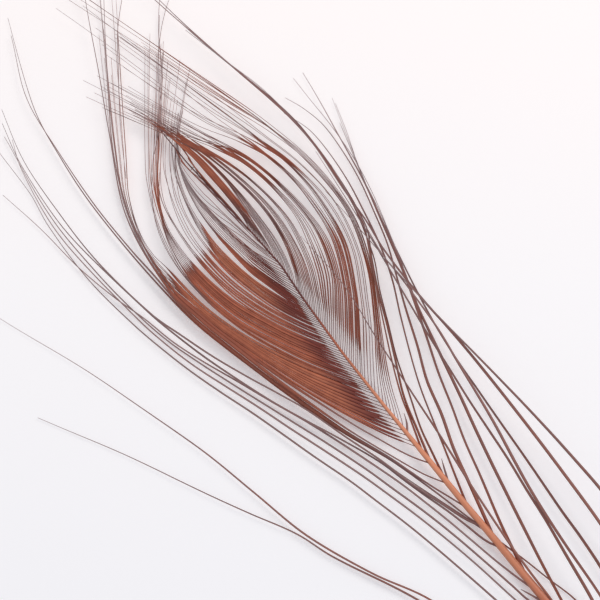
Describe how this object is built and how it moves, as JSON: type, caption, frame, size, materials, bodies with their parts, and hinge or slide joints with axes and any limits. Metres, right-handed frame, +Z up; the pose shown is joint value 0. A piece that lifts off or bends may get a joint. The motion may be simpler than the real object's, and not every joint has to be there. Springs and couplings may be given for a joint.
{
  "type": "stripped peacock quill",
  "caption": "Peacock eye feather stripped of its fine fringe: a thin tapering shaft with bare barbs that fan out, bow round the eye and cross beyond its tip, lying flat.",
  "frame": {"origin": "middle of the underside of the feather's box, on the surface that it lies on", "axes": "+X along the shaft towards the cut end, +Z up from the surface, +Y to the right of the shaft seen from the cut end with the tip ahead"},
  "size_m": [0.182, 0.0622, 0.0043],
  "materials": {
    "barbs": "bare rust-brown keratin barbs, satin, paler and greyer towards their tips",
    "shaft": "orange-brown keratin shaft of the same piece, satin"
  },
  "bodies": {
    "root": {"stripped_feather": "barbs"}
  },
  "joints": []
}
